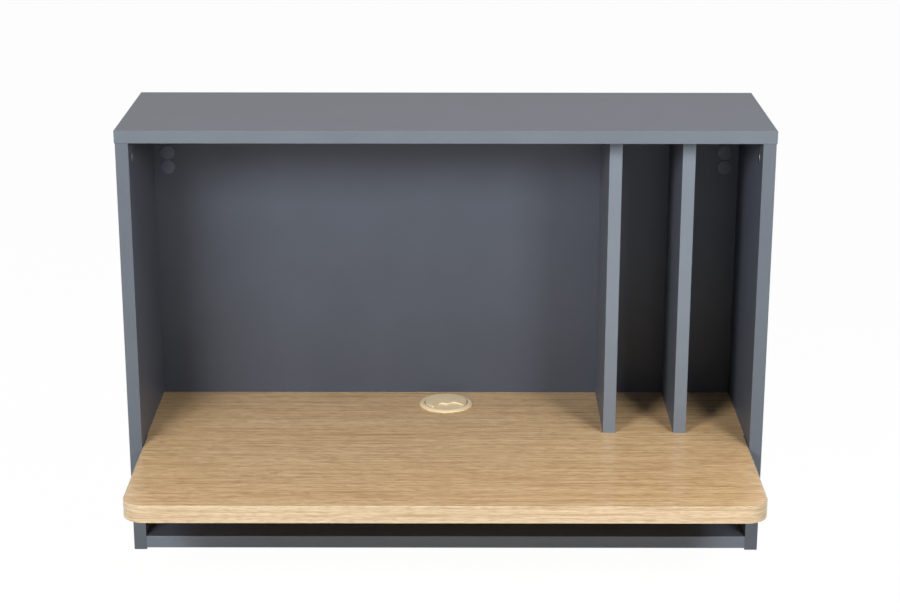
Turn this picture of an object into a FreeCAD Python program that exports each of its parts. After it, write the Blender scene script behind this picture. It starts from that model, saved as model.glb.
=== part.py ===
"""Wall desk: a grey board carcass that hangs on two concealed hangers, with an oak leaf that folds up.

Millimetres. X runs to the right, Y runs into the wall and Z runs up. The wall is the plane Y = 0.
Heights are measured from the lower ends of the side panels while the pieces are made. Each piece is
then lowered so that the middle of the four wall screws is the origin.
"""
import FreeCAD, Part
import os
from math import hypot, sqrt

os.makedirs("parts", exist_ok=True)
V = FreeCAD.Vector

# Carcass boards
overall_width = 900.0
side_height = 600.0
side_depth = 260.0
board = 18.0
back_board = 10.0
rear_void = 16.5
top_overhang = 1.0
bottom_lift = 2.5
groove_depth = 8.0
groove_play = 0.1
grey_band = 1.0
grey_band_round = 0.4

# Oak desk: fixed shelf and folding leaf
desk_board = 25.0
desk_height = 157.5
desk_reach = 211.5
corner_radius = 30.0
oak_band = 2.0
oak_band_round = 1.0
leaf_side_gap = 0.5
pivot_setback = 38.0
pivot_rise = 12.5
leaf_tail = 12.5
cove_clearance = 0.27
lipping_depth = 6.0

# Dividers
divider_setback = 60.0
slot_width = 84.0
divider_dowel_setbacks = (37.0, 99.0)

# Leaf pivots and rests
pin_radius = 4.0
pin_in_leaf = 28.0
pin_in_bush = 11.0
pin_play = 0.05
bush_radius = 6.0
bush_length = 12.0
press_play = 0.02
rest_width = 18.0
rest_reach = 30.0
rest_drop = 38.0
rest_plate = 3.0
rest_front_gap = 2.0
rest_pad = 1.5
rest_gap = 0.2
rest_screw_heights = (10.0, 25.0)

# Cam locks, dowels and screws
cam_setback = 37.0
cam_reach = 26.0
cam_radius = 7.4
cam_depth = 12.2
cam_bore_play = 0.1
cam_drive_radius = 2.6
cam_drive_depth = 3.5
bolt_thread_radius = 3.0
bolt_thread = 11.0
bolt_shank_radius = 2.6
bolt_head_radius = 3.5
bolt_head_half = 3.0
bolt_bore_radius = 4.0
cap_radius = 8.5
cap_thickness = 1.0
cap_stem_radius = 2.4
cap_stem = 3.0
dowel_radius = 4.0
dowel_in_edge = 23.0
dowel_in_face = 12.0
dowel_play = 0.05
dowel_offset = 32.0
bore_end_room = 0.5
screw_radius = 2.0
screw_head_radius = 3.8
screw_head = 2.2
screw_play = 0.05
drive_length = 4.0
drive_width = 0.9
drive_depth = 1.2
back_screw_length = 30.0
back_screw_spacing = 220.0
back_screws_per_board = 4
divider_screw_rise = 100.0
divider_screw_drop = 102.5
rest_screw_length = 15.0
lock_screw_radius = 2.2
lock_screw_rise = 15.0
lock_screw_sink = 1.0

# Cable outlet
outlet_setback = 51.0
flange_radius = 40.0
flange_height = 3.0
flange_edge = 1.0
sleeve_wall = 2.6
sleeve_drop = 20.0
sleeve_play = 0.3
lid_radius = 31.4
lid_play = 1.0
lid_thickness = 2.5
lid_float = 0.3
lid_round = 0.9
lid_turn = 11.0
floor_top = 2.4
floor_thickness = 2.0
hub_radius = 6.0
hub_drop = 8.0
floor_past_hub = 2.0
lid_pin_radius = 3.0
lid_pin_end_room = 1.0
wave_corner = 22.0
wave_flank = (17.0, -14.5)
wave_hump = (9.7, -8.5)
wave_dip = -12.5

# Wall hangers
hanger_inset = 20.0
height_screw_drop = 66.5
adjuster_spacing = 22.0
access_radius = 6.0
cover_radius = 10.75
cover_thickness = 1.6
cover_round = 0.8
cover_plug = 5.0
cover_plug_wall = 1.2
plug_play = 0.1
housing_wall = 1.5
housing_side_play = 0.5
housing_rise = 22.5
housing_fall = 17.5
housing_wall_gap = 4.0
steel = 2.5
hook_front_gap = 4.5
hook_play = 0.3
arm_height = 20.0
arm_below_screw = 5.5
arm_end_gap = 3.5
tail_half = 12.0
tail_drop = 25.0
hook_span = 52.0
hook_clear = 8.5
hook_rise = 14.0
hook_overlap = 12.0
plate_margin = 2.0
plate_drop = 44.0
tongue_wall_gap = 5.0
fixing_spacing = 24.0
fixing_radius = 2.75
fixing_below_arm = 10.0
adjuster_radius = 3.0
adjuster_head_radius = 4.5
adjuster_head = 2.8
adjuster_play = 0.1
adjuster_wall_room = 6.0
hanger_screw_length = 9.0
hanger_screw_inset = 6.5

# Places worked out from the sizes above
half_width = overall_width / 2
inner = half_width - board
y_front = -side_depth
y_void = -rear_void
y_back = y_void - back_board
z_desk = desk_height
z_desk_under = desk_height - desk_board
z_desk_middle = z_desk - desk_board / 2
pivot_y = y_front + pivot_setback
pivot_z = z_desk_under + pivot_rise
leaf_rear = pivot_y + leaf_tail
leaf_front = y_front - desk_reach
leaf_half = inner - leaf_side_gap
leaf_sweep = max(hypot(leaf_tail, pivot_rise), hypot(leaf_tail, desk_board - pivot_rise))
cove_radius = leaf_sweep + cove_clearance
y_shelf = pivot_y + cove_radius + lipping_depth
divider_front = y_front + divider_setback
right_divider_x = inner - slot_width - board
left_divider_x = right_divider_x - slot_width - board
cam_front_y = y_front + cam_setback
cam_rear_y = y_back - cam_setback
outlet_y = y_back - outlet_setback
sleeve_radius = lid_radius + lid_play + sleeve_wall
lid_bottom = floor_top + lid_float
hanger_x = inner - hanger_inset
height_screw_z = side_height - height_screw_drop
depth_screw_z = height_screw_z - adjuster_spacing
y_hook = y_void + hook_front_gap
arm_bottom = height_screw_z - arm_below_screw
arm_top = arm_bottom + arm_height
hook_top = arm_top + hook_rise
housing_half = hanger_inset - housing_side_play
hook_outer_x = hanger_x - housing_half - hook_clear
hook_inner_x = hook_outer_x - hook_span
tongue_back = -tongue_wall_gap
fixing_x = (hook_inner_x + hook_outer_x) / 2
upper_fixing_z = arm_bottom - fixing_below_arm
fixing_height = upper_fixing_z - fixing_spacing / 2

same_place = 0.01
LEFT, RIGHT = -1, 1
SIDE_NAMES = {LEFT: "left", RIGHT: "right"}
UP, DOWN = V(0, 0, 1), V(0, 0, -1)
TO_WALL, TO_ROOM = V(0, 1, 0), V(0, -1, 0)

bores = {}
fittings = {}


def bore(node, solid):
    """Note a solid that is bored out of a board."""
    bores.setdefault(node, []).append(solid)


def fit(node, solid):
    """Add a solid to a group of like fittings."""
    fittings.setdefault(node, []).append(solid)


def box(x0, x1, y0, y1, z0, z1):
    """Block between two corners."""
    return Part.makeBox(x1 - x0, y1 - y0, z1 - z0, V(x0, y0, z0))


def rod(radius, start, end):
    """Round bar from one point to another."""
    run = end - start
    return Part.makeCylinder(radius, run.Length, start, run)


def placed(shape, point, direction):
    """Turn a fitting that was made along +Z and set it at its place."""
    shape.Placement = FreeCAD.Placement(point, FreeCAD.Rotation(UP, direction))
    return shape


def rounded(shape, radius, wanted):
    """Round the edges whose middle point the test picks out."""
    edges = [edge for edge in shape.Edges if wanted(edge.CenterOfMass)]
    return shape.makeFillet(radius, edges)


def near(a, b):
    """True where two places are the same."""
    return abs(a - b) < same_place


def screw_form(length, play):
    """Countersunk form along +Z with its head flush at 0, grown all round by the play."""
    head = Part.makeCone(screw_head_radius + play, screw_radius + play, screw_head)
    return head.fuse(Part.makeCylinder(screw_radius + play, length))


def cross_slots():
    """Two crossed slots for a driver, sunk along +Z from 0."""
    return [box(-across / 2, across / 2, -along / 2, along / 2, 0, drive_depth)
            for across, along in ((drive_length, drive_width), (drive_width, drive_length))]


def drive_screw(node, boards, point, direction, length):
    """Drive a screw through boards and bore its hole in each of them."""
    fit(node, placed(screw_form(length, 0).cut(cross_slots()), point, direction))
    for name in boards:
        bore(name, placed(screw_form(length + bore_end_room, screw_play), point, direction))


def cam_joint(edge_board, face_board, point, inward, outward, capped):
    """Cam lock let into one board and its bolt screwed into the other.

    The bolt crosses the joint at the point and runs inward to the cam, which opens outward.
    """
    heart = point + inward * cam_reach
    mouth = heart + outward * (board / 2)
    cam = rod(cam_radius, mouth, mouth - outward * cam_depth)
    pocket_end = heart + inward * (bolt_head_half + bore_end_room)
    pocket = rod(bolt_bore_radius, heart - inward * cam_radius, pocket_end)
    drive = rod(cam_drive_radius, mouth, mouth - outward * cam_drive_depth)
    fit("cam_locks", cam.cut([pocket, drive]))
    thread = rod(bolt_thread_radius, point - inward * bolt_thread, point)
    shank = rod(bolt_shank_radius, point, heart)
    head = rod(bolt_head_radius, heart - inward * bolt_head_half, heart + inward * bolt_head_half)
    fit("cam_bolts", thread.fuse([shank, head]))
    bore(edge_board, rod(cam_radius + cam_bore_play, mouth, mouth - outward * (cam_depth + bore_end_room)))
    bore(edge_board, rod(bolt_bore_radius, point, heart))
    bore(face_board, rod(bolt_thread_radius, point - inward * (bolt_thread + bore_end_room), point))
    if capped:
        disc = rod(cap_radius, mouth, mouth + outward * cap_thickness)
        stem = rod(cap_stem_radius, mouth - outward * cap_stem, mouth)
        fit("cam_cover_caps", disc.fuse(stem))


def dowel_joint(edge_board, face_board, point, inward):
    """Wooden dowel across a joint, deeper in the board's edge than in the face that it meets."""
    fit("wood_dowels", rod(dowel_radius, point - inward * dowel_in_face, point + inward * dowel_in_edge))
    hole = dowel_radius + dowel_play
    bore(edge_board, rod(hole, point, point + inward * (dowel_in_edge + bore_end_room)))
    bore(face_board, rod(hole, point - inward * (dowel_in_face + bore_end_room), point))


def join_carcass():
    """Cams and dowels that hold the sides to the top, the bottom and the fixed shelf."""
    shelf_front_y = y_shelf + cam_setback
    for side in (LEFT, RIGHT):
        side_board = SIDE_NAMES[side] + "_side_panel"
        to_middle = V(-side, 0, 0)
        middle_x = side * (inner + board / 2)
        for y in (cam_front_y, cam_rear_y):
            cam_joint(side_board, "top_panel", V(middle_x, y, side_height), DOWN, to_middle, True)
        for y in (cam_front_y + dowel_offset, cam_rear_y - dowel_offset):
            dowel_joint(side_board, "top_panel", V(middle_x, y, side_height), DOWN)
        bottom_z = bottom_lift + board / 2
        for y in (cam_front_y, cam_rear_y):
            cam_joint("bottom_panel", side_board, V(side * inner, y, bottom_z), to_middle, DOWN, False)
        for y in (cam_front_y + dowel_offset, cam_rear_y - dowel_offset):
            dowel_joint("bottom_panel", side_board, V(side * inner, y, bottom_z), to_middle)
        shelf_z = z_desk_under + board / 2
        for y in (shelf_front_y, cam_rear_y):
            cam_joint("fixed_shelf", side_board, V(side * inner, y, shelf_z), to_middle, DOWN, False)
        middle_y = (shelf_front_y + cam_rear_y) / 2
        dowel_joint("fixed_shelf", side_board, V(side * inner, middle_y, shelf_z), to_middle)


def join_dividers():
    """Dowels at both ends of each divider, a lock screw beside the rear lower dowel, screws at the back."""
    for name, x in (("left_divider", left_divider_x), ("right_divider", right_divider_x)):
        middle_x = x + board / 2
        for setback in divider_dowel_setbacks:
            y = divider_front + setback
            dowel_joint(name, "top_panel", V(middle_x, y, side_height), DOWN)
            dowel_joint(name, "fixed_shelf", V(middle_x, y, z_desk), UP)
        lock_y = divider_front + divider_dowel_setbacks[-1]
        face = V(x, lock_y, z_desk + lock_screw_rise)
        tip = V(middle_x - dowel_radius - dowel_play, face.y, face.z)
        fit("divider_lock_screws", rod(lock_screw_radius, face + V(lock_screw_sink, 0, 0), tip))
        bore(name, rod(lock_screw_radius + screw_play, face, tip))
        for z in (z_desk + divider_screw_rise, side_height - divider_screw_drop):
            point = V(middle_x, y_void, z)
            drive_screw("back_panel_screws", ("back_panel", name), point, TO_ROOM, back_screw_length)


def join_back():
    """Screws through the back panel into the rear edges of the shelf and the bottom panel."""
    for name, z in (("fixed_shelf", z_desk_middle), ("bottom_panel", bottom_lift + board / 2)):
        for number in range(back_screws_per_board):
            x = (number - (back_screws_per_board - 1) / 2) * back_screw_spacing
            point = V(x, y_void, z)
            drive_screw("back_panel_screws", ("back_panel", name), point, TO_ROOM, back_screw_length)


def bored(node, solid):
    """A board with every hole that its fittings need."""
    if node in bores:
        solid = solid.cut(bores[node])
    return solid


def back_groove():
    """Groove for the back panel in the sides and the top, as one cutter."""
    reach = inner + groove_depth
    front, back = y_back - groove_play, y_void + groove_play
    return box(-reach, reach, front, back, bottom_lift, side_height + groove_depth)


def top_panel():
    """Top board over the sides, less its edge bands, with the groove for the back panel."""
    half = half_width + top_overhang - grey_band
    slab = box(-half, half, y_front + grey_band, 0, side_height, side_height + board)
    return bored("top_panel", slab.cut(back_groove()))


def top_edge_bands():
    """Bands on the front edge and both ends of the top."""
    half = half_width + top_overhang
    z0, z1 = side_height, side_height + board
    front = box(-half, half, y_front, y_front + grey_band, z0, z1)
    front = rounded(front, grey_band_round, lambda c: near(c.y, y_front) and not near(abs(c.x), half))
    ends = [box(min(x, x + w), max(x, x + w), y_front + grey_band, 0, z0, z1)
            for x, w in ((-half, grey_band), (half, -grey_band))]
    return Part.makeCompound([front] + ends)


def side_panel(side):
    """Side board with its groove, bores and the blind hole for the pivot bush."""
    node = SIDE_NAMES[side] + "_side_panel"
    x0, x1 = sorted((side * inner, side * half_width))
    slab = box(x0, x1, y_front + grey_band, 0, 0, side_height)
    axis = V(side * inner, pivot_y, pivot_z)
    hole = rod(bush_radius + press_play, axis, axis + V(side * bush_length, 0, 0))
    return bored(node, slab.cut([back_groove(), hole]))


def side_edge_bands():
    """Bands on the front edges of the two sides."""
    bands = []
    for side in (LEFT, RIGHT):
        x0, x1 = sorted((side * inner, side * half_width))
        band = box(x0, x1, y_front, y_front + grey_band, 0, side_height)
        bands.append(rounded(band, grey_band_round,
                             lambda c: near(c.y, y_front) and near(c.z, side_height / 2)))
    return Part.makeCompound(bands)


def bottom_panel():
    """Bottom board between the sides, up to the back panel."""
    slab = box(-inner, inner, y_front + grey_band, y_back, bottom_lift, bottom_lift + board)
    return bored("bottom_panel", slab)


def bottom_edge_band():
    """Band on the front edge of the bottom board."""
    band = box(-inner, inner, y_front, y_front + grey_band, bottom_lift, bottom_lift + board)
    return rounded(band, grey_band_round, lambda c: near(c.y, y_front) and near(c.x, 0))


def back_panel():
    """Back board in the side and top grooves, with the access holes to the hangers."""
    half = inner + groove_depth - bore_end_room
    top = side_height + groove_depth - bore_end_room
    slab = box(-half, half, y_back, y_void, bottom_lift, top)
    for side in (LEFT, RIGHT):
        for z in (height_screw_z, depth_screw_z):
            x = side * hanger_x
            slab = slab.cut(rod(access_radius, V(x, y_back, z), V(x, y_void, z)))
    return bored("back_panel", slab)


def divider(node, x):
    """Upright board between the shelf and the top."""
    slab = box(x, x + board, divider_front + grey_band, y_back, z_desk, side_height)
    return bored(node, slab)


def divider_edge_bands():
    """Bands on the front edges of the two dividers."""
    bands = []
    middle_z = (z_desk + side_height) / 2
    for x in (left_divider_x, right_divider_x):
        band = box(x, x + board, divider_front, divider_front + grey_band, z_desk, side_height)
        bands.append(rounded(band, grey_band_round,
                             lambda c: near(c.y, divider_front) and near(c.z, middle_z)))
    return Part.makeCompound(bands)


def cove(radius):
    """Round bar on the leaf's pivot axis, wider than the desk."""
    return rod(radius, V(-half_width, pivot_y, pivot_z), V(half_width, pivot_y, pivot_z))


def fixed_shelf():
    """Rear part of the oak desk, under the dividers, with the hole for the cable outlet."""
    slab = box(-inner, inner, y_shelf, y_back, z_desk_under, z_desk)
    hole = rod(sleeve_radius + sleeve_play, V(0, outlet_y, z_desk_under), V(0, outlet_y, z_desk))
    return bored("fixed_shelf", slab.cut(hole))


def shelf_lipping():
    """Oak lipping along the shelf's front, hollowed so that the leaf's square rear edge can turn in it."""
    strip = box(-inner, inner, leaf_rear, y_shelf, z_desk_under, z_desk)
    return strip.cut(cove(cove_radius))


def leaf_slab(inset):
    """Leaf outline with two round front corners, drawn in all round and raised to the board's thickness."""
    half, front, rear = leaf_half - inset, leaf_front + inset, leaf_rear - inset
    radius = corner_radius - inset
    slab = box(-half, half, front, rear, z_desk_under, z_desk)
    return rounded(slab, radius, lambda c: near(c.y, front) and near(abs(c.x), half))


def pin_bores():
    """Bores for the two pivot pins in the leaf's ends."""
    return [rod(pin_radius + press_play, V(side * (leaf_half - pin_in_leaf), pivot_y, pivot_z),
                V(side * leaf_half, pivot_y, pivot_z)) for side in (LEFT, RIGHT)]


def folding_leaf():
    """Oak board of the leaf, less its edge band."""
    return leaf_slab(oak_band).cut(pin_bores())


def leaf_edge_band():
    """Oak band that runs round the leaf, rounded along its front and side edges."""
    outer = rounded(leaf_slab(0), oak_band_round,
                    lambda c: near(abs(c.z - z_desk_middle), desk_board / 2) and c.y < leaf_rear - oak_band)
    return outer.cut([leaf_slab(oak_band)] + pin_bores())


def pivot_pin(side):
    """Steel pin pressed into the leaf's end."""
    start = V(side * (leaf_half - pin_in_leaf), pivot_y, pivot_z)
    return rod(pin_radius, start, V(side * (inner + pin_in_bush), pivot_y, pivot_z))


def pivot_bush(side):
    """Brass bush in the side panel, flush with its inner face."""
    start = V(side * inner, pivot_y, pivot_z)
    end = V(side * (inner + bush_length), pivot_y, pivot_z)
    return rod(bush_radius, start, end).cut(rod(pin_radius + pin_play, start, end))


def leaf_rest(side):
    """Steel angle under the leaf, screwed to the side panel near its front."""
    node = SIDE_NAMES[side] + "_leaf_rest"
    y0 = y_front + rest_front_gap
    top = z_desk_under - rest_gap - rest_pad
    wall0, wall1 = sorted((side * inner, side * (inner - rest_plate)))
    arm0, arm1 = sorted((side * inner, side * (inner - rest_reach)))
    wall = box(wall0, wall1, y0, y0 + rest_width, top - rest_drop, top)
    arm = box(arm0, arm1, y0, y0 + rest_width, top - rest_plate, top)
    for rise in rest_screw_heights:
        point = V(side * (inner - rest_plate), y0 + rest_width / 2, top - rest_drop + rise)
        boards = (node, SIDE_NAMES[side] + "_side_panel")
        drive_screw("leaf_rest_screws", boards, point, V(side, 0, 0), rest_screw_length)
    pad0, pad1 = sorted((side * (inner - rest_plate), side * (inner - rest_reach)))
    fit("leaf_rest_pads", box(pad0, pad1, y0, y0 + rest_width, top, top + rest_pad))
    return bored(node, wall.fuse(arm).removeSplitter())


def cable_sleeve():
    """Moulded sleeve: a flange on the shelf, a tube through it and a half floor with the lid's hub."""
    bore_radius = lid_radius + lid_play
    run, rise = flange_radius - sleeve_radius, flange_height - flange_edge
    dome = (run ** 2 + rise ** 2) / (2 * rise)
    bend = V(sleeve_radius + run / 2, 0, flange_height - dome + sqrt(dome ** 2 - (run / 2) ** 2))
    crown = V(sleeve_radius, 0, flange_height)
    rim = [crown, V(bore_radius, 0, flange_height), V(bore_radius, 0, -sleeve_drop),
           V(sleeve_radius, 0, -sleeve_drop), V(sleeve_radius, 0, 0), V(flange_radius, 0, 0),
           V(flange_radius, 0, flange_edge)]
    edges = [Part.LineSegment(a, b).toShape() for a, b in zip(rim, rim[1:])]
    edges.append(Part.Arc(rim[-1], bend, crown).toShape())
    ring = Part.Face(Part.Wire(edges)).revolve(V(0, 0, 0), UP, 360)
    floor_under = floor_top - floor_thickness
    floor = Part.makeCylinder(bore_radius + sleeve_wall / 2, floor_thickness, V(0, 0, floor_under))
    reach = flange_radius
    floor = floor.common(box(-reach, reach, -reach, hub_radius + floor_past_hub, floor_under, floor_top))
    hub = rod(hub_radius, V(0, 0, -hub_drop), V(0, 0, floor_top))
    eye = rod(lid_pin_radius + pin_play, V(0, 0, -hub_drop), V(0, 0, floor_top))
    sleeve = ring.fuse([floor, hub]).cut(eye)
    return sleeve.translated(V(0, outlet_y, z_desk))


def cable_lid():
    """Lid over the rear of the outlet: a disc cut off by a wavy edge, on a pin in the sleeve's hub."""
    end_x = sqrt(lid_radius ** 2 - wave_corner ** 2)
    left, right = V(-end_x, -wave_corner, 0), V(end_x, -wave_corner, 0)
    (flank_x, flank_y), (hump_x, hump_y) = wave_flank, wave_hump
    points = [left, V(-flank_x, flank_y, 0), V(-hump_x, hump_y, 0), V(0, wave_dip, 0),
              V(hump_x, hump_y, 0), V(flank_x, flank_y, 0), right]
    wave = Part.BSplineCurve()
    wave.interpolate(points)
    rim = Part.Arc(right, V(0, lid_radius, 0), left)
    plate = Part.Face(Part.Wire([wave.toShape(), rim.toShape()])).extrude(V(0, 0, lid_thickness))
    plate = rounded(plate, lid_round, lambda c: near(c.z, lid_thickness))
    plate = plate.translated(V(0, 0, lid_bottom))
    pin = rod(lid_pin_radius, V(0, 0, lid_pin_end_room - hub_drop), V(0, 0, lid_bottom + lid_round))
    lid = plate.fuse(pin)
    lid.rotate(V(0, 0, 0), UP, lid_turn)
    return lid.translated(V(0, outlet_y, z_desk))


def mirrored(shape, side):
    """The shape itself on the right, its mirror image on the left."""
    return shape if side == RIGHT else shape.mirror(V(0, 0, 0), V(1, 0, 0))


def hanger_housing(side):
    """Pressed steel box on the rear of the back panel, open to the wall, with a slot for the hook's arm."""
    x0, x1 = hanger_x - housing_half, hanger_x + housing_half
    z0, z1 = depth_screw_z - housing_fall, height_screw_z + housing_rise
    wall = housing_wall
    shell = box(x0, x1, y_void, -housing_wall_gap, z0, z1)
    hollow = box(x0 + wall, x1 - wall, y_void + wall, 0, z0 + wall, z1 - wall)
    slot = box(x0, x0 + wall, y_hook - hook_play, y_hook + steel + hook_play,
               arm_bottom - hook_play, arm_top + hook_play)
    holes = [rod(adjuster_radius + adjuster_play, V(hanger_x, y_void, z), V(hanger_x, y_void + wall, z))
             for z in (height_screw_z, depth_screw_z)]
    node = SIDE_NAMES[side] + "_hanger_housing"
    inset = hanger_screw_inset + wall
    for x, z in ((x0 + inset, z1 - inset), (x1 - inset, z0 + inset)):
        point = V(side * x, y_void + wall, z)
        drive_screw("hanger_screws", (node, "back_panel"), point, TO_ROOM, hanger_screw_length)
    return bored(node, mirrored(shell.cut([hollow, slot] + holes), side))


def hook(side):
    """Steel hook: an arm and tail inside the housing, and an upright that hangs on the wall plate."""
    y0, y1 = y_hook, y_hook + steel
    arm = box(hook_inner_x, hanger_x + housing_half - arm_end_gap, y0, y1, arm_bottom, arm_top)
    tail_x0, tail_x1 = hanger_x - tail_half, hanger_x + tail_half
    tail = box(tail_x0, tail_x1, y0, y1, arm_bottom - tail_drop, arm_bottom)
    upright = box(hook_inner_x, hook_outer_x, y0, y1, arm_top, hook_top)
    lip_back = tongue_back + hook_play + steel
    web = box(hook_inner_x, hook_outer_x, y0, lip_back, hook_top, hook_top + steel)
    lip = box(hook_inner_x, hook_outer_x, lip_back - steel, lip_back, hook_top - hook_overlap, hook_top)
    eye = rod(adjuster_radius + adjuster_play, V(hanger_x, y0, height_screw_z),
              V(hanger_x, y1, height_screw_z))
    return mirrored(arm.fuse([tail, upright, web, lip]).removeSplitter().cut(eye), side)


def wall_plate(side):
    """Steel plate for the wall, bent forward and up into the tongue that carries the hook."""
    x0, x1 = hook_inner_x - plate_margin, hook_outer_x + plate_margin
    tongue_front = tongue_back - steel
    shoulder = hook_top - hook_overlap - steel
    base = box(x0, x1, -steel, 0, arm_bottom - plate_drop, shoulder)
    web = box(x0, x1, tongue_front, 0, shoulder - steel, shoulder)
    tongue = box(x0, x1, tongue_front, tongue_back, shoulder - steel, hook_top)
    holes = [rod(fixing_radius, V(fixing_x, -steel, z), V(fixing_x, 0, z))
             for z in (upper_fixing_z, upper_fixing_z - fixing_spacing)]
    return mirrored(base.fuse([web, tongue]).removeSplitter().cut(holes), side)


def adjusting_screw(tip_y):
    """Cross-slotted screw whose head stands in the access hole and whose tip reaches the given depth."""
    head = Part.makeCylinder(adjuster_head_radius, adjuster_head).cut(cross_slots())
    return head.fuse(Part.makeCylinder(adjuster_radius, adjuster_head + tip_y - y_void))


def cover_cap():
    """Domed round cap with a hollow plug, made along +Z with its face at 0."""
    face = Part.makeCylinder(cover_radius, cover_thickness)
    face = rounded(face, cover_round, lambda c: near(c.z, 0))
    plug_radius = access_radius - plug_play
    plug = Part.makeCylinder(plug_radius, cover_plug, V(0, 0, cover_thickness))
    hollow = Part.makeCylinder(plug_radius - cover_plug_wall, cover_plug, V(0, 0, cover_thickness))
    return face.fuse(plug.cut(hollow))


def fit_adjusters():
    """Height screws, depth screws and cover caps of both hangers."""
    rows = (("height_screws", height_screw_z, -adjuster_wall_room), ("depth_screws", depth_screw_z, y_hook))
    for side in (LEFT, RIGHT):
        for node, z, tip_y in rows:
            head = V(side * hanger_x, y_void - adjuster_head, z)
            fit(node, placed(adjusting_screw(tip_y), head, TO_WALL))
            face = V(side * hanger_x, y_back - cover_thickness, z)
            fit("hanger_cover_caps", placed(cover_cap(), face, TO_WALL))


def save(node, shape):
    """Lower a piece to the wall screws' origin and write it."""
    shape.translated(V(0, 0, -fixing_height)).exportStep("parts/" + node + ".step")


join_carcass()
join_dividers()
join_back()
fit_adjusters()

for side, name in SIDE_NAMES.items():
    save(name + "_leaf_rest", leaf_rest(side))
    save(name + "_hanger_housing", hanger_housing(side))
    save(name + "_hook", hook(side))
    save(name + "_wall_plate", wall_plate(side))
    save(name + "_pivot_pin", pivot_pin(side))
    save(name + "_pivot_bush", pivot_bush(side))
    save(name + "_side_panel", side_panel(side))

save("top_panel", top_panel())
save("top_edge_bands", top_edge_bands())
save("side_edge_bands", side_edge_bands())
save("bottom_panel", bottom_panel())
save("bottom_edge_band", bottom_edge_band())
save("back_panel", back_panel())
save("left_divider", divider("left_divider", left_divider_x))
save("right_divider", divider("right_divider", right_divider_x))
save("divider_edge_bands", divider_edge_bands())
save("fixed_shelf", fixed_shelf())
save("shelf_lipping", shelf_lipping())
save("folding_leaf", folding_leaf())
save("leaf_edge_band", leaf_edge_band())
save("cable_sleeve", cable_sleeve())
save("cable_lid", cable_lid())
for node, solids in fittings.items():
    save(node, Part.makeCompound(solids))
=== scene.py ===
"""Looks of a wall desk: a grey melamine carcass, an oak shelf and leaf, and a cream cable outlet.

Metres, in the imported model's frame: X to the right, Y into the wall, Z up, with the wall at Y = 0.
New pieces are surfaces on grids, worked out as whole arrays. Sizes in millimetres carry the factor MM,
and pattern sizes, whose names end in mm, are millimetres without it.
"""
from math import cos, pi, radians, sin

import bmesh
import bpy
import numpy as np
from mathutils import Matrix, Vector


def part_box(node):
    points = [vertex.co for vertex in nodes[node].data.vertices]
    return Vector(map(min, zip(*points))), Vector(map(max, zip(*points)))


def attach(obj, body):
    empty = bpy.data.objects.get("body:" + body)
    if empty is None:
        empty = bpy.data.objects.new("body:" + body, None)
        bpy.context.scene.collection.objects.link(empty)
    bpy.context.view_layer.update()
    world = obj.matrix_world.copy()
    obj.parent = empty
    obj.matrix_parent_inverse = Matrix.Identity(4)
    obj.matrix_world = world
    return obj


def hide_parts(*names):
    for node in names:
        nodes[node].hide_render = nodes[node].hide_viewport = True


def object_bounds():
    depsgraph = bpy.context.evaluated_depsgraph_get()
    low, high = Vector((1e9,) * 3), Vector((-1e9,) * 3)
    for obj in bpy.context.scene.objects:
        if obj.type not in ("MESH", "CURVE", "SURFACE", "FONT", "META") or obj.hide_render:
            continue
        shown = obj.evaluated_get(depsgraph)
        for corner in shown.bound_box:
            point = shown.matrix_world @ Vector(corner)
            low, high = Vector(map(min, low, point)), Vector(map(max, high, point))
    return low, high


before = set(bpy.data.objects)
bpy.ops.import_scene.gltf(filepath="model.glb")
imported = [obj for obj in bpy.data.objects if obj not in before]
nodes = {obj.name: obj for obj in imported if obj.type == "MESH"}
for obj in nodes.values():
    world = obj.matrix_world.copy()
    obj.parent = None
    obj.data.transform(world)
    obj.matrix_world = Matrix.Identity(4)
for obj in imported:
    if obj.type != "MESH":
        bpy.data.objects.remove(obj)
cad_low, cad_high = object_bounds()
MM = 0.001
X, Y, Z = 0, 1, 2


def put_in_scene(name, data):
    """New object at the origin, linked to the scene."""
    made = bpy.data.objects.new(name, data)
    bpy.context.scene.collection.objects.link(made)
    return made


# Camera, as the photograph was taken: picture width and focal length in pixels, sensor in millimetres
IMAGE_WIDTH = 900
FOCAL_LENGTH = 2045.44
SENSOR = 36.0
CAMERA_PLACE = Vector((0.0085, -2.9774, 0.7163))
PITCH = radians(17.431)
YAW = radians(-0.052)
ROLL = radians(0.045)


def make_camera():
    """Camera that looks along YAW and PITCH, turned by ROLL about its own line of sight."""
    forward = Vector((sin(YAW) * cos(PITCH), cos(YAW) * cos(PITCH), -sin(PITCH)))
    level = Vector((cos(YAW), -sin(YAW), 0))
    over = level.cross(forward)
    right = level * cos(ROLL) + over * sin(ROLL)
    up = over * cos(ROLL) - level * sin(ROLL)
    turned = Matrix((right, up, -forward)).transposed().to_4x4()
    data = bpy.data.cameras.new("camera")
    data.sensor_width = SENSOR
    data.lens = FOCAL_LENGTH / IMAGE_WIDTH * SENSOR
    camera = put_in_scene("camera", data)
    camera.matrix_world = Matrix.Translation(CAMERA_PLACE) @ turned
    bpy.context.scene.camera = camera


# Materials
COMMON_IOR = 1.5


def linear(colour):
    """Linear RGBA of an sRGB hex colour."""
    channels = np.array([int(colour[i:i + 2], 16) for i in (1, 3, 5)]) / 255
    bright = ((channels + 0.055) / 1.055) ** 2.4
    return (*np.where(channels <= 0.04045, channels / 12.92, bright), 1.0)


def add(tree, kind, inputs, **settings):
    """Add one node: its settings, and its input sockets as values or as links from other nodes' sockets."""
    node = tree.nodes.new("ShaderNode" + kind)
    for name, value in settings.items():
        setattr(node, name, value)
    for socket, value in inputs.items():
        if isinstance(value, bpy.types.NodeSocket):
            tree.links.new(value, node.inputs[socket])
        else:
            node.inputs[socket].default_value = value
    return node


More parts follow.
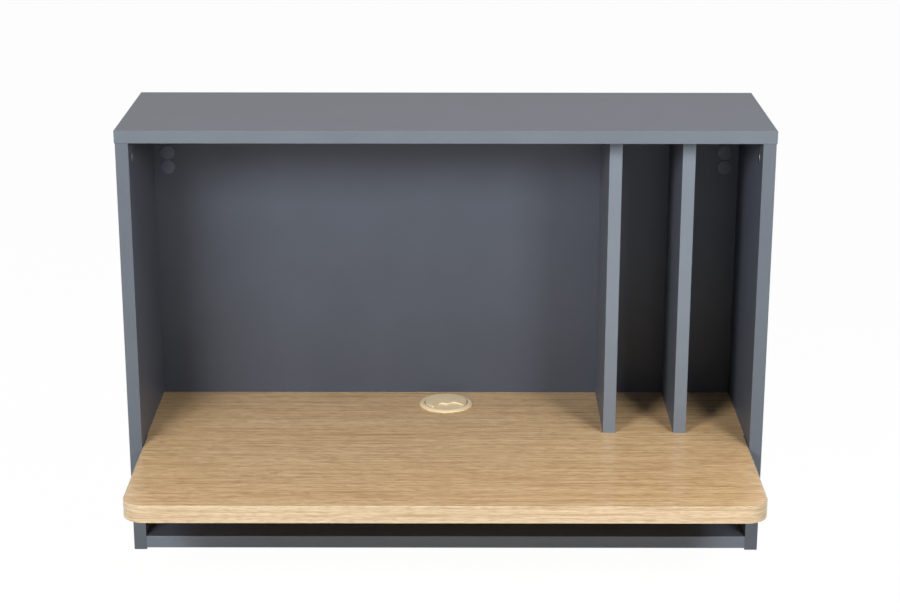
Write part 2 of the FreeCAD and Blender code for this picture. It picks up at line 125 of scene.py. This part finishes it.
def new_material(name):
    """Empty material and the tree of its nodes."""
    material = bpy.data.materials.new(name)
    material.use_nodes = True
    material.node_tree.nodes.clear()
    return material, material.node_tree


def close_material(tree, sockets):
    """Finish a tree with one surface shader."""
    shader = add(tree, "BsdfPrincipled", sockets)
    add(tree, "OutputMaterial", {"Surface": shader.outputs["BSDF"]})


def per(size_mm):
    """Noise scale at which one cell is the given size in millimetres."""
    return 1 / (size_mm * MM)


def grey_board(name, dark, light, roughness, ior):
    """Melamine, a printed paper pressed on board: an even satin grey with faint clouds and a fine grain.

    The pressed grain is about 0.4 mm across in life. It is drawn at 1.5 mm, so that it still shows.
    A lower IOR gives a duller face.
    """
    print_mm, grain_mm = 70, 1.5
    spread, strength, depth = 0.06, 0.12, 0.1 * MM
    material, tree = new_material(name)
    place = add(tree, "TexCoord", {}).outputs["Object"]
    cloud = add(tree, "TexNoise", {"Vector": place, "Scale": per(print_mm), "Detail": 3.0}).outputs["Fac"]
    grain = add(tree, "TexNoise", {"Vector": place, "Scale": per(grain_mm), "Detail": 2.0}).outputs["Fac"]
    tone = add(tree, "MixRGB", {"Fac": cloud, "Color1": linear(dark), "Color2": linear(light)})
    satin = add(tree, "MapRange", {"Value": grain, "To Min": roughness - spread,
                                   "To Max": roughness + spread})
    pressed = add(tree, "Bump", {"Height": grain, "Strength": strength, "Distance": depth})
    close_material(tree, {"Base Color": tone.outputs["Color"], "Roughness": satin.outputs["Result"],
                          "Normal": pressed.outputs["Normal"], "IOR": ior})
    return material


def oak(name, place_kind, fibre_mm, pale, ground, dark, pore, roughness):
    """Straight-grained oak under lacquer: dark and pale fibres over broad bands, with short dark pores.

    The grain runs along the first coordinate. Real fibres are about 1 mm across. They are drawn a little
    coarser, so that they still show from a few metres. Each layer has its length and width in millimetres,
    its octaves, the noise values at which it starts and is full, and its strength.
    """
    layers = {
        "bands": (1400, 60, 2.0, 0.35, 0.65, 1.0),
        "fibres": (500, 2.5 * fibre_mm, 2.0, 0.34, 0.66, 1.0),
        "lines": (80, fibre_mm, 2.0, 0.4, 0.62, 0.85),
        "pores": (16, fibre_mm, 1.0, 0.46, 0.66, 0.5),
    }
    ragged, duller, strength, depth = 0.62, 0.15, 0.15, 0.08 * MM
    pale, ground, dark, pore = (linear(colour) for colour in (pale, ground, dark, pore))
    material, tree = new_material(name)
    place = add(tree, "TexCoord", {}).outputs[place_kind]
    grain = {}
    for layer, (along_mm, across_mm, octaves, starts, full, most) in layers.items():
        scale = (per(along_mm), per(across_mm), per(across_mm))
        at = add(tree, "Mapping", {"Vector": place, "Scale": scale}).outputs[0]
        noise = add(tree, "TexNoise", {"Vector": at, "Scale": 1.0, "Detail": octaves, "Roughness": ragged})
        shown = add(tree, "MapRange", {"Value": noise.outputs["Fac"], "From Min": starts, "From Max": full,
                                       "To Max": most})
        grain[layer] = shown.outputs[0]
    broad = add(tree, "MixRGB", {"Fac": grain["bands"], "Color1": ground, "Color2": pale}).outputs[0]
    streaked = add(tree, "MixRGB", {"Fac": grain["fibres"], "Color1": dark, "Color2": broad}).outputs[0]
    lined = add(tree, "MixRGB", {"Fac": grain["lines"], "Color1": streaked, "Color2": pale}).outputs[0]
    pored = add(tree, "MixRGB", {"Fac": grain["pores"], "Color1": lined, "Color2": pore}).outputs[0]
    height = add(tree, "Math", {0: grain["fibres"], 1: grain["pores"]}, operation="SUBTRACT").outputs[0]
    relief = add(tree, "Bump", {"Height": height, "Strength": strength, "Distance": depth})
    satin = add(tree, "MapRange", {"Value": grain["pores"], "To Min": roughness,
                                   "To Max": roughness + duller})
    close_material(tree, {"Base Color": pored, "Roughness": satin.outputs["Result"],
                          "Normal": relief.outputs["Normal"], "IOR": COMMON_IOR})
    return material


def moulded_plastic(name, colour, shade, roughness, grit_mm):
    """Moulded plastic or rubber: one satin colour with a faint flow tint and the fine grit of the mould.

    The grit of an eroded mould is about 0.1 mm across in life. It is drawn coarser, so that it still shows.
    """
    flow_mm = 18
    spread, strength, depth = 0.05, 0.08, 0.05 * MM
    material, tree = new_material(name)
    place = add(tree, "TexCoord", {}).outputs["Object"]
    flow = add(tree, "TexNoise", {"Vector": place, "Scale": per(flow_mm), "Detail": 1.0}).outputs["Fac"]
    grit = add(tree, "TexNoise", {"Vector": place, "Scale": per(grit_mm), "Detail": 1.0}).outputs["Fac"]
    tone = add(tree, "MixRGB", {"Fac": flow, "Color1": linear(shade), "Color2": linear(colour)})
    satin = add(tree, "MapRange", {"Value": grit, "To Min": roughness - spread,
                                   "To Max": roughness + spread})
    relief = add(tree, "Bump", {"Height": grit, "Strength": strength, "Distance": depth})
    close_material(tree, {"Base Color": tone.outputs["Color"], "Roughness": satin.outputs["Result"],
                          "Normal": relief.outputs["Normal"], "IOR": COMMON_IOR})
    return material


def plated_metal(name, colour, shade, roughness, spangle_mm):
    """Plated or turned metal: a shine whose tint and sharpness vary from patch to patch."""
    spread = 0.1
    material, tree = new_material(name)
    place = add(tree, "TexCoord", {}).outputs["Object"]
    patch = add(tree, "TexNoise", {"Vector": place, "Scale": per(spangle_mm), "Detail": 3.0}).outputs["Fac"]
    tone = add(tree, "MixRGB", {"Fac": patch, "Color1": linear(shade), "Color2": linear(colour)})
    polish = add(tree, "MapRange", {"Value": patch, "To Min": roughness - spread,
                                    "To Max": roughness + spread})
    close_material(tree, {"Base Color": tone.outputs["Color"], "Roughness": polish.outputs["Result"],
                          "Metallic": 1.0})
    return material


def beech(name, colour, shade, roughness):
    """Turned beech: a dull pale brown with small darker flecks."""
    fleck_mm = 2.5
    material, tree = new_material(name)
    place = add(tree, "TexCoord", {}).outputs["Object"]
    fleck = add(tree, "TexNoise", {"Vector": place, "Scale": per(fleck_mm), "Detail": 2.0}).outputs["Fac"]
    tone = add(tree, "MixRGB", {"Fac": fleck, "Color1": linear(shade), "Color2": linear(colour)})
    close_material(tree, {"Base Color": tone.outputs["Color"], "Roughness": roughness, "IOR": COMMON_IOR})
    return material


# Melamine is an even cool grey, and the back is smoother than the boards.
# The dividers' faces are painted light: a paler copy of the melamine, standing for light that reaches them
# in the slots.
board_face = grey_board("anthracite melamine", "#494e58", "#505561", 0.45, 1.45)
back_face = grey_board("anthracite melamine of the back", "#494e58", "#505561", 0.3, 1.34)
divider_face_painted_lighter = grey_board("anthracite melamine of the dividers", "#52565f", "#595e69", 0.45, 1.45)

# Bands of dyed plastic are paler and duller than the faces. Their tones differ from board to board as
# painted light:
# each copy of the band is set to the light that its board's front gets.
top_edge = grey_board("anthracite edge band of the top", "#60676f", "#687078", 0.45, 1.36)
side_edge = grey_board("anthracite edge band of the sides", "#595f68", "#60676f", 0.45, 1.36)
divider_edge = grey_board("anthracite edge band of the dividers", "#6d747e", "#757e88", 0.45, 1.36)

# Lacquered oak is a warm straw colour with a soft shine. The leaf's band is less yellow than the faces.
oak_face = oak("oak faced board", "Object", 1.5, "#efcd9e", "#e0b986", "#b48e5f", "#946e46", 0.22)
oak_edge = oak("oak edge band", "UV", 1.8, "#d4be9d", "#d0b893", "#ae926a", "#9a7d5b", 0.22)

# Mouldings have one colour throughout: soft cream, satin slate and dull black.
# The caps' slate is paler than the back panel, partly as their own colour and partly as painted light for
# the light they catch standing proud.
outlet_plastic = moulded_plastic("cream moulded plastic", "#f7e3bc", "#ecd5ac", 0.35, 1.0)
cap_plastic = moulded_plastic("grey polyethylene cap", "#5c6373", "#545c6b", 0.45, 1.0)
rubber = moulded_plastic("black rubber", "#2b2b2c", "#232324", 0.75, 1.5)

# Metal fittings shine: soft nickel, spangled zinc, bright steel and yellow brass
cam_nickel = plated_metal("nickel plated cap", "#b4b5b8", "#9fa1a6", 0.4, 3.0)
zinc = plated_metal("zinc plated steel", "#d3d6d9", "#b9bdc2", 0.34, 6.0)
bright_steel = plated_metal("bright plated steel", "#d9d9da", "#bcbdc0", 0.28, 3.0)
turned_brass = plated_metal("turned brass", "#d8b56a", "#c09c52", 0.28, 3.0)

# Dowels are bare wood
beech_wood = beech("beech", "#d3b184", "#b48d60", 0.6)

DRESS = {
    board_face: ("top_panel", "left_side_panel", "right_side_panel", "bottom_panel"),
    back_face: ("back_panel",),
    divider_face_painted_lighter: ("left_divider", "right_divider"),
    oak_face: ("fixed_shelf", "shelf_lipping", "folding_leaf"),
    zinc: ("cam_locks", "left_hanger_housing", "right_hanger_housing", "left_hook", "right_hook",
           "left_wall_plate", "right_wall_plate", "left_leaf_rest", "right_leaf_rest"),
    bright_steel: ("cam_bolts", "back_panel_screws", "divider_lock_screws", "leaf_rest_screws",
                   "hanger_screws", "height_screws", "depth_screws", "left_pivot_pin", "right_pivot_pin"),
    turned_brass: ("left_pivot_bush", "right_pivot_bush"),
    beech_wood: ("wood_dowels",),
    rubber: ("leaf_rest_pads",),
}


def dress_nodes():
    """Give every CAD piece that isn't replaced its material."""
    for material, names in DRESS.items():
        for name in names:
            nodes[name].data.materials.clear()
            nodes[name].data.materials.append(material)


# Surfaces: the angle past which an edge is sharp, the distance at which points merge, and counts of points
SHARP = radians(50)
MERGE = 0.0005 * MM
ROUND_POINTS = 7
PLATE_RINGS = 6
CAP_RINGS = 8
CIRCLE_POINTS = 96
SMALL_CIRCLE_POINTS = 48
WAVE_STEPS = 10


def grid_faces(rows, columns, closed):
    """Quads of a grid whose columns wrap round, and whose rows wrap too where its outline is closed."""
    index = np.arange(rows * columns).reshape(rows, columns)
    ahead, over = np.roll(index, -1, 0), np.roll(index, -1, 1)
    quads = np.stack([index, over, np.roll(ahead, -1, 1), ahead], -1)
    return quads[:rows if closed else rows - 1].reshape(-1, 4)


def piece(name, grids, material, body, stands_for, uv=None):
    """One object from grids of points, each given with whether its rows close on themselves.

    Points that fall together, as at a pole, are merged and the faces are turned outwards.
    """
    points, faces, count = [], [], 0
    for grid, closed in grids:
        faces.append(grid_faces(*grid.shape[:2], closed) + count)
        points.append(grid.reshape(-1, 3))
        count += len(points[-1])
    mesh = bpy.data.meshes.new(name)
    mesh.from_pydata(np.concatenate(points), [], np.concatenate(faces))
    if uv is not None:
        corners = np.zeros(len(mesh.loops), np.int32)
        mesh.loops.foreach_get("vertex_index", corners)
        mesh.uv_layers.new(name="grain").data.foreach_set("uv", uv.reshape(-1, 2)[corners].ravel())
    work = bmesh.new()
    work.from_mesh(mesh)
    bmesh.ops.remove_doubles(work, verts=work.verts, dist=MERGE)
    bmesh.ops.recalc_face_normals(work, faces=work.faces)
    work.to_mesh(mesh)
    work.free()
    mesh.materials.append(material)
    mesh.shade_smooth()
    mesh.set_sharp_from_angle(angle=SHARP)
    made = put_in_scene(name, mesh)
    made.modifiers.new("level faces", "WEIGHTED_NORMAL").keep_sharp = True
    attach(made, body)
    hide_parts(stands_for)


def eased(corners, radii):
    """Closed outline whose corners are arcs that touch both sides of the corner.

    An arc's ends lie radius / tan(half angle) from its corner and its centre lies radius / sin(half angle)
    along the bisector. Its points turn evenly from one end to the other.
    """
    corners = np.array(corners, float)
    radius = np.array(radii, float)[:, None]
    back = np.roll(corners, 1, 0) - corners
    ahead = np.roll(corners, -1, 0) - corners
    back /= np.linalg.norm(back, axis=1, keepdims=True)
    ahead /= np.linalg.norm(ahead, axis=1, keepdims=True)
    half = np.arccos(np.clip((back * ahead).sum(1, keepdims=True), -1, 1)) / 2
    bisector = (back + ahead) / np.linalg.norm(back + ahead, axis=1, keepdims=True)
    centre = corners + bisector * radius / np.sin(half)
    start = corners + back * radius / np.tan(half) - centre
    end = corners + ahead * radius / np.tan(half) - centre
    sweep = pi - 2 * half
    share = np.linspace(0, 1, ROUND_POINTS)
    first = np.sin((1 - share) * sweep) / np.sin(sweep)
    last = np.sin(share * sweep) / np.sin(sweep)
    arcs = centre[:, None] + first[..., None] * start[:, None] + last[..., None] * end[:, None]
    return arcs.reshape(-1, 2)


def domed(radius, height, rim, crown):
    """Outline of a round cap from its back's middle to its front's middle.

    The rim is a quarter circle. The front rises over it by crown times one less the square of the radius,
    where the radius is a share of the front's own.
    """
    turn = np.linspace(0, pi / 2, ROUND_POINTS)
    flat = radius - rim
    edge = np.stack([flat + rim * np.cos(turn), height - crown - rim + rim * np.sin(turn)], -1)
    share = np.linspace(1, 0, CAP_RINGS)[1:]
    front = np.stack([flat * share, height - crown * share ** 2], -1)
    return np.concatenate([[(0, 0), (radius, 0)], edge, front])


def revolved(outline, count=CIRCLE_POINTS):
    """Each point of an outline of radius and height goes round a circle about the vertical axis."""
    angle = np.linspace(0, 2 * pi, count, endpoint=False)
    radius, height = outline[:, :1], outline[:, 1:]
    return np.stack([radius * np.cos(angle), radius * np.sin(angle), height + 0 * angle], -1)


def plate(outline, heart, low, high, rim, crown=0.0):
    """Flat moulding: its outline at both faces, a rounded upper rim, and faces that close on the heart.

    A ring drawn in by the rim follows the outline's inward normal. The upper face shrinks ring by ring and
    rises towards the heart by crown times one less the square of the ring's share.
    """
    along = np.roll(outline, -1, 0) - np.roll(outline, 1, 0)
    inward = np.stack([-along[:, 1], along[:, 0]], -1) / np.linalg.norm(along, axis=1, keepdims=True)
    turn = np.linspace(0, pi / 2, PLATE_RINGS)[:, None]
    drawn_in = outline + inward * (rim * (1 - np.cos(turn)))[..., None]
    heights = high - rim + rim * np.sin(turn)
    edge = np.concatenate([drawn_in, np.broadcast_to(heights[..., None], drawn_in.shape[:2] + (1,))], -1)
    share = np.linspace(1, 0, PLATE_RINGS)[1:, None, None]
    face = heart + (drawn_in[-1] - heart) * share
    rise = np.broadcast_to(high + crown * (1 - share ** 2), face.shape[:2] + (1,))
    face = np.concatenate([face, rise], -1)
    under = np.stack([np.broadcast_to(heart, outline.shape), outline])
    under = np.concatenate([under, np.full(under.shape[:2] + (1,), low)], -1)
    return np.concatenate([under, edge, face])


def smooth_through(points):
    """Curve through points: each stretch is the cubic whose end slopes are half the neighbours' step."""
    points = np.array(points, float)
    padded = np.concatenate([[2 * points[0] - points[1]], points, [2 * points[-1] - points[-2]]])
    before, here, there, after = (padded[i:len(padded) - 3 + i, None] for i in range(4))
    t = np.linspace(0, 1, WAVE_STEPS, endpoint=False)[:, None]
    leave, arrive = (there - before) / 2, (after - here) / 2
    run = (here + leave * t + (3 * (there - here) - 2 * leave - arrive) * t ** 2
           + (2 * (here - there) + leave + arrive) * t ** 3)
    return np.concatenate([run.reshape(-1, 2), points[-1:]])


def faced(grid, face, centre):
    """Turn a grid that was made along +Z to face another way, and set it at its centre."""
    turn = Vector((0, 0, 1)).rotation_difference(Vector(face)).to_matrix()
    return grid @ np.array(turn).T + np.array(centre)


# Grey edge bands
GREY_BAND = 1.0 * MM
GREY_ROUND = 0.7 * MM


def straight_band(low, high, along, outer, inner):
    """Straight band: a section with two rounded outer edges, carried from one end to the other.

    The section lies in the other two axes. Its outer and inner faces are places on X or Y, and each end
    closes on the section's middle.
    """
    through = X if along == Y else Y
    across = X + Y + Z - along - through
    left, right = low[across], high[across]
    section = eased([(left, outer), (right, outer), (right, inner), (left, inner)],
                    (GREY_ROUND, GREY_ROUND, 0, 0))
    middle = np.broadcast_to(section.mean(0), section.shape)
    rings = np.stack([middle, section, section, middle])
    grid = np.empty(rings.shape[:2] + (3,))
    grid[..., across], grid[..., through] = rings[..., 0], rings[..., 1]
    grid[..., along] = np.array([low[along], low[along], high[along], high[along]])[:, None]
    return grid, False


def make_edge_bands():
    """Bands on the front edges of the top, sides, dividers and bottom, and on the two ends of the top."""
    low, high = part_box("top_edge_bands")
    front = low.y + GREY_BAND
    rear_part = Vector((low.x, front, low.z))
    bands = [straight_band(low, high, X, low.y, front),
             straight_band(rear_part, high, Y, low.x, low.x + GREY_BAND),
             straight_band(rear_part, high, Y, high.x, high.x - GREY_BAND)]
    piece("top_bands", bands, top_edge, "carcass", "top_edge_bands")
    low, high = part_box("bottom_edge_band")
    bands = [straight_band(low, high, X, low.y, high.y)]
    # The rail's band takes the dividers' paler band tone: painted light that lifts it out of the leaf's
    # shadow.
    piece("bottom_band", bands, divider_edge, "carcass", "bottom_edge_band")
    for name, node, tone, boards in (
            ("side_bands", "side_edge_bands", side_edge, ("left_side_panel", "right_side_panel")),
            ("divider_bands", "divider_edge_bands", divider_edge, ("left_divider", "right_divider"))):
        low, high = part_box(node)
        bands = []
        for board in boards:
            left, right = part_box(board)
            foot, head = Vector((left.x, low.y, low.z)), Vector((right.x, high.y, high.z))
            bands.append(straight_band(foot, head, Z, low.y, high.y))
        piece(name, bands, tone, "carcass", node)


# Oak band round the leaf
BAND = 2.0 * MM
BAND_ROUND = 1.0 * MM
REAR_ROUND = 0.1 * MM
ROUND_FADE = 4.0 * MM
LEAF_CORNER = 30.0 * MM
CORNER_POINTS = 25


def leaf_path(low, high):
    """Leaf's outline from the middle of the rear edge, with how far each point moves for one unit outwards.

    Front corners are arcs, and square rear corners are mitred. Straight sides have the points where the
    edge's rounding changes. The right half mirrors the left.
    """
    turn = np.linspace(0, pi / 2, CORNER_POINTS)
    half, front, rear = high.x, low.y, high.y
    arc = np.stack([-np.sin(turn), -np.cos(turn)], -1)[::-1]
    left_arc = arc * LEAF_CORNER + (-half + LEAF_CORNER, front + LEAF_CORNER)
    left = np.array([(0, rear), (-half, rear), (-half, rear - ROUND_FADE)])
    left_out = np.array([(0, 1), (-1, 1), (-1, 0)])
    path = np.concatenate([left, left_arc])
    out = np.concatenate([left_out, arc])
    mirror = np.array([-1, 1])
    return np.concatenate([path, path[:0:-1] * mirror]), np.concatenate([out, out[:0:-1] * mirror])


def make_leaf_band():
    """Band whose section, a bar with two rounded outer edges, is carried round the leaf's outline.

    A section point is its corner plus the edge radius times a quarter circle. The radius fades at the rear,
    where the edge stays square. The grain's own map runs along the outline and across the section.
    """
    low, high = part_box("leaf_edge_band")
    path, out = leaf_path(low, high)
    edge = np.where(path[:, 1] > high.y - ROUND_FADE / 2, REAR_ROUND, BAND_ROUND)[:, None]
    turn = np.linspace(0, pi / 2, ROUND_POINTS)
    quarter = np.stack([np.cos(turn) - 1, np.sin(turn) - 1], -1)
    lower, upper = quarter[::-1] * (1, -1), quarter
    corner = np.concatenate([[(-BAND, low.z)], np.tile((0, low.z), (ROUND_POINTS, 1)),
                             np.tile((0, high.z), (ROUND_POINTS, 1)), [(-BAND, high.z)]])
    bend = np.concatenate([[(0, 0)], lower, upper, [(0, 0)]])
    offset = corner[:, 0] + edge * bend[:, 0]
    height = corner[:, 1] + edge * bend[:, 1]
    flat = path[:, None] + out[:, None] * offset[..., None]
    grid = np.concatenate([flat, height[..., None]], -1).transpose(1, 0, 2)
    step = np.linalg.norm(np.roll(path, -1, 0) - path, axis=1)
    length = np.concatenate([[0], np.cumsum(step)[:-1]])
    uv = np.stack(np.broadcast_arrays(length, (height - offset).T), -1)
    piece("leaf_band", [(grid, True)], oak_edge, "leaf", "leaf_edge_band", uv)


# Cable outlet. Heights are from the shelf's face, and the lid's wavy edge is given about the axis.
FLANGE_CROWN = 3.0 * MM
FLANGE_EDGE = 1.3 * MM
FLANGE_LAND = 36.5 * MM
RING_ROUNDS = np.array([0.4, 0.4, 0.0, 0.2, 1.2, 2.0, 0.4]) * MM
SLEEVE_WALL = 2.6 * MM
BORE_PLAY = 1.0 * MM
FLOOR_TOP = 2.4 * MM
FLOOR_UNDER = 0.4 * MM
FLOOR_ROUND = 0.2 * MM
FLOOR_REACH = 8.0 * MM
FLOOR_GAP = 1.6 * MM
FLOOR_SPAN = radians(42)
FLOOR_POINTS = 121
HUB_RADIUS = 6.0 * MM
HUB_DROP = 8.0 * MM
PIN_RADIUS = 3.0 * MM
PIN_PLAY = 0.05 * MM
LID_THICKNESS = 2.5 * MM
LID_RIM = 0.9 * MM
LID_CROWN = 0.4 * MM
LID_TURN = radians(11)
LID_POINTS = 90
WAVE = np.array([(-17.0, -14.5), (-9.7, -8.5), (0.0, -12.5), (9.7, -8.5), (17.0, -14.5)]) * MM
WAVE_CORNER = -22.0 * MM


def make_cable_outlet():
    """Flanged sleeve with a half floor and a hub, and the lid that turns on it.

    Sleeve and hub are outlines that go round the axis. The half floor is a plate bounded by an arc about
    the axis. The arc runs in the sleeve's wall within FLOOR_SPAN of the front, and clear of it elsewhere.
    """
    low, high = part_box("cable_sleeve")
    lid_low, lid_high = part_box("cable_lid")
    centre = np.array([(low.x + high.x) / 2, (low.y + high.y) / 2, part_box("fixed_shelf")[1].z])
    flange = (high.x - low.x) / 2
    lid_radius = lid_high.y - centre[1]
    bore = lid_radius + BORE_PLAY
    tube = bore + SLEEVE_WALL
    drop = low.z - centre[2]
    ring = eased([(bore, drop), (tube, drop), (tube, 0), (flange, 0), (flange, FLANGE_EDGE),
                  (FLANGE_LAND, FLANGE_CROWN), (bore, FLANGE_CROWN)], RING_ROUNDS)
    hub_bore = PIN_RADIUS + PIN_PLAY
    hub = np.array([(hub_bore, -HUB_DROP), (HUB_RADIUS, -HUB_DROP), (HUB_RADIUS, FLOOR_TOP),
                    (hub_bore, FLOOR_TOP)])
    in_wall = bore + SLEEVE_WALL / 4
    side = np.arcsin(FLOOR_REACH / in_wall)
    turn = np.linspace(-pi - side, side, FLOOR_POINTS)
    reach = np.where(np.abs(turn + pi / 2) < FLOOR_SPAN, in_wall, bore - FLOOR_GAP)
    floor = np.stack([reach * np.cos(turn), reach * np.sin(turn)], -1)
    heart = np.array([0.0, -HUB_RADIUS * 2])
    grids = [(revolved(ring), True), (revolved(hub, SMALL_CIRCLE_POINTS), True),
             (plate(floor, heart, FLOOR_UNDER, FLOOR_TOP, FLOOR_ROUND), False)]
    piece("cable_outlet_sleeve", [(grid + centre, closed) for grid, closed in grids], outlet_plastic,
          "carcass", "cable_sleeve")
    make_cable_lid(centre, lid_radius, lid_low.z - centre[2], lid_high.z - centre[2])


def make_cable_lid(centre, radius, pin_end, top):
    """Disc cut off by a wavy edge, a little crowned, on a pin.

    Its outline is the smooth curve through the wave's points, and for the rest an arc about the axis.
    """
    end = np.sqrt(radius ** 2 - WAVE_CORNER ** 2)
    wave = smooth_through([(-end, WAVE_CORNER), *WAVE, (end, WAVE_CORNER)])
    start = np.arcsin(WAVE_CORNER / radius)
    turn = np.linspace(start, pi - start, LID_POINTS)[1:-1]
    rim = np.stack([radius * np.cos(turn), radius * np.sin(turn)], -1)
    outline = np.concatenate([wave, rim])
    heart = np.array([0.0, radius / 3])
    under = top - LID_THICKNESS
    disc = plate(outline, heart, under, top - LID_CROWN, LID_RIM, LID_CROWN)
    pin = np.array([(0, pin_end), (PIN_RADIUS, pin_end), (PIN_RADIUS, under), (0, under)])
    turned = np.array(Matrix.Rotation(LID_TURN, 3, "Z")).T
    grids = [(disc @ turned + centre, False), (revolved(pin, SMALL_CIRCLE_POINTS) + centre, False)]
    piece("cable_outlet_lid", grids, outlet_plastic, "outlet_lid", "cable_lid")


# Round cover caps
HANGER_CAP_RADIUS = 10.75 * MM
HANGER_CAP_HEIGHT = 1.6 * MM
HANGER_CAP_RIM = 0.7 * MM
HANGER_CAP_CROWN = 0.5 * MM
CAM_CAP_RADIUS = 8.5 * MM
CAM_CAP_HEIGHT = 1.0 * MM
CAM_CAP_RIM = 0.4 * MM
CAM_CAP_CROWN = 0.4 * MM


def make_hanger_caps():
    """Four domed outlines, each turned round, in two columns on the back panel over the hangers' screws."""
    low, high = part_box("hanger_cover_caps")
    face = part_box("back_panel")[0].y
    cap = revolved(domed(HANGER_CAP_RADIUS, HANGER_CAP_HEIGHT, HANGER_CAP_RIM, HANGER_CAP_CROWN))
    grids = [(faced(cap, (0, -1, 0), (x, face, z)), False)
             for x in (low.x + HANGER_CAP_RADIUS, high.x - HANGER_CAP_RADIUS)
             for z in (low.z + HANGER_CAP_RADIUS, high.z - HANGER_CAP_RADIUS)]
    piece("hanger_caps", grids, cap_plastic, "carcass", "hanger_cover_caps")


def make_cam_caps():
    """Two domed outlines, each turned round, on each side panel's inner face over the top's cam locks."""
    low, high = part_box("cam_cover_caps")
    cap = revolved(domed(CAM_CAP_RADIUS, CAM_CAP_HEIGHT, CAM_CAP_RIM, CAM_CAP_CROWN))
    middle_z = (low.z + high.z) / 2
    places = [(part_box("left_side_panel")[1].x, 1), (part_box("right_side_panel")[0].x, -1)]
    grids = [(faced(cap, (inward, 0, 0), (x, y, middle_z)), False)
             for x, inward in places
             for y in (low.y + CAM_CAP_RADIUS, high.y - CAM_CAP_RADIUS)]
    piece("cam_caps", grids, cam_nickel, "carcass", "cam_cover_caps")


# Floor and backdrop: how white the floor is to the camera, its place and size, and the world's light
WHITE = (1, 1, 1, 1)
STAGE_TONES = ("#ebebea", "#f0f0f0")
STAGE_MOTTLE_MM = 400
STAGE_SEEN = 0.95
STAGE_GLOW = 1.02
STAGE_DROP = 0.2 * MM
STAGE_HALF = 40.0
FILL = 0.01
BACKDROP = 0.6
BACKDROP_EDGE = 0.5

# Lamps: azimuth from the front and elevation in degrees, distance and side in metres, power in watts
LAMPS = {
    "far left softbox": (-38, 18, 4.0, 0.88, 41.0),
    "near left softbox": (-28, 28, 2.4, 0.53, 32.0),
    "right softbox": (38, 28, 1.6, 0.36, 12.3),
    "top softbox": (60, 60, 2.4, 0.79, 12.5),
}


def seen_white(tree):
    """One where the camera, a reflection or a clear piece looks, zero for light that falls on the desk."""
    ray = add(tree, "LightPath", {})
    mirror = add(tree, "Math", {0: ray.outputs["Is Glossy Ray"], 1: ray.outputs["Is Transmission Ray"]},
                 operation="MAXIMUM")
    either = add(tree, "Math", {0: mirror.outputs[0], 1: ray.outputs["Is Camera Ray"]}, operation="MAXIMUM")
    return either.outputs[0]


def make_stage():
    """Pale floor under the desk, white to the camera, that keeps a faint shadow."""
    material, tree = new_material("white studio floor")
    place = add(tree, "TexCoord", {}).outputs["Object"]
    mottle = add(tree, "TexNoise", {"Vector": place, "Scale": per(STAGE_MOTTLE_MM)}).outputs["Fac"]
    dark, light = STAGE_TONES
    tone = add(tree, "MixRGB", {"Fac": mottle, "Color1": linear(dark), "Color2": linear(light)})
    matt = add(tree, "BsdfDiffuse", {"Color": tone.outputs[0]})
    white = add(tree, "Emission", {"Color": WHITE, "Strength": STAGE_GLOW})
    seen = add(tree, "Math", {0: seen_white(tree), 1: STAGE_SEEN}, operation="MULTIPLY")
    mixed = add(tree, "MixShader", {"Fac": seen.outputs[0], 1: matt.outputs[0], 2: white.outputs[0]})
    add(tree, "OutputMaterial", {"Surface": mixed.outputs[0]})
    floor = bpy.data.meshes.new("floor")
    level = cad_low.z - STAGE_DROP
    corners = [(x, y, level) for x, y in np.array([(-1, -1), (1, -1), (1, 1), (-1, 1)]) * STAGE_HALF]
    floor.from_pydata(corners, [], [(0, 1, 2, 3)])
    floor.materials.append(material)
    stage = put_in_scene("floor", floor)


def make_world():
    """White to the camera and in reflections, else a faint fill with the glow of a backdrop from behind."""
    world = bpy.data.worlds.new("studio")
    bpy.context.scene.world = world
    world.use_nodes = True
    tree = world.node_tree
    tree.nodes.clear()
    towards = add(tree, "TexCoord", {}).outputs["Generated"]
    behind = add(tree, "SeparateXYZ", {0: towards}).outputs["Y"]
    lit = add(tree, "MapRange", {"Value": behind, "From Max": BACKDROP_EDGE, "To Min": FILL,
                                 "To Max": BACKDROP})
    level = add(tree, "MapRange", {"Value": seen_white(tree), "To Min": lit.outputs[0], "To Max": 1.0})
    glow = add(tree, "Background", {"Color": WHITE, "Strength": level.outputs[0]})
    add(tree, "OutputWorld", {"Surface": glow.outputs[0]})


def make_lamps():
    """Square softboxes round the desk, each turned towards its middle."""
    middle = (cad_low + cad_high) / 2
    for name, (azimuth, elevation, distance, side, power) in LAMPS.items():
        turn, rise = radians(azimuth), radians(elevation)
        away = Vector((sin(turn) * cos(rise), -cos(turn) * cos(rise), sin(rise)))
        data = bpy.data.lights.new(name, "AREA")
        data.size = side
        data.energy = power
        lamp = put_in_scene(name, data)
        lamp.location = middle + away * distance
        lamp.rotation_euler = away.to_track_quat("Z", "Y").to_euler()


make_camera()
make_stage()
make_world()
make_lamps()
dress_nodes()
make_edge_bands()
make_leaf_band()
make_cable_outlet()
make_hanger_caps()
make_cam_caps()

bpy.context.scene.view_settings.view_transform = "Standard"
